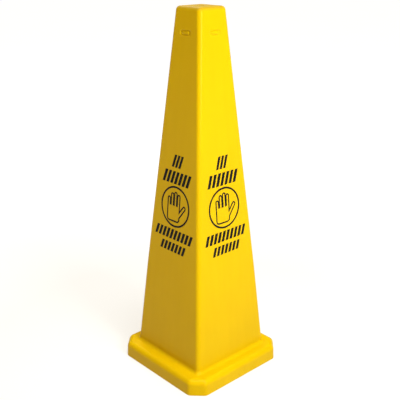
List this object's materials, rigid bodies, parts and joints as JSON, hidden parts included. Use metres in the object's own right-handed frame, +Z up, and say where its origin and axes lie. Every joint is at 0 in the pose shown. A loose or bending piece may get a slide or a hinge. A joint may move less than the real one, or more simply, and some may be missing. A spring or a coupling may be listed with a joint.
{
  "type": "safety cone",
  "caption": "Tall square-pyramid floor safety cone, hollow and stackable, with black printed stripes and an open-hand ring on each face.",
  "frame": {"origin": "centre of the square base, on the surface that the bottom rim stands on", "axes": "+Z up the tower to its closed top; -Y out of the front face, +X out of the right face"},
  "size_m": [0.311, 0.311, 0.9144],
  "materials": {
    "yellow_plastic": "satin",
    "black_ink": "satin"
  },
  "bodies": {
    "root": {"cone_body": "yellow_plastic", "front_stripes_short": "black_ink", "front_stripes_upper": "black_ink", "front_ring": "black_ink", "front_palm": "black_ink", "front_stripes_wide": "black_ink", "front_stripes_lower": "black_ink", "right_stripes_short": "black_ink", "right_stripes_upper": "black_ink", "right_ring": "black_ink", "right_palm": "black_ink", "right_stripes_wide": "black_ink", "right_stripes_lower": "black_ink", "back_stripes_short": "black_ink", "back_stripes_upper": "black_ink", "back_ring": "black_ink", "back_palm": "black_ink", "back_stripes_wide": "black_ink", "back_stripes_lower": "black_ink", "left_stripes_short": "black_ink", "left_stripes_upper": "black_ink", "left_ring": "black_ink", "left_palm": "black_ink", "left_stripes_wide": "black_ink", "left_stripes_lower": "black_ink"}
  },
  "joints": []
}
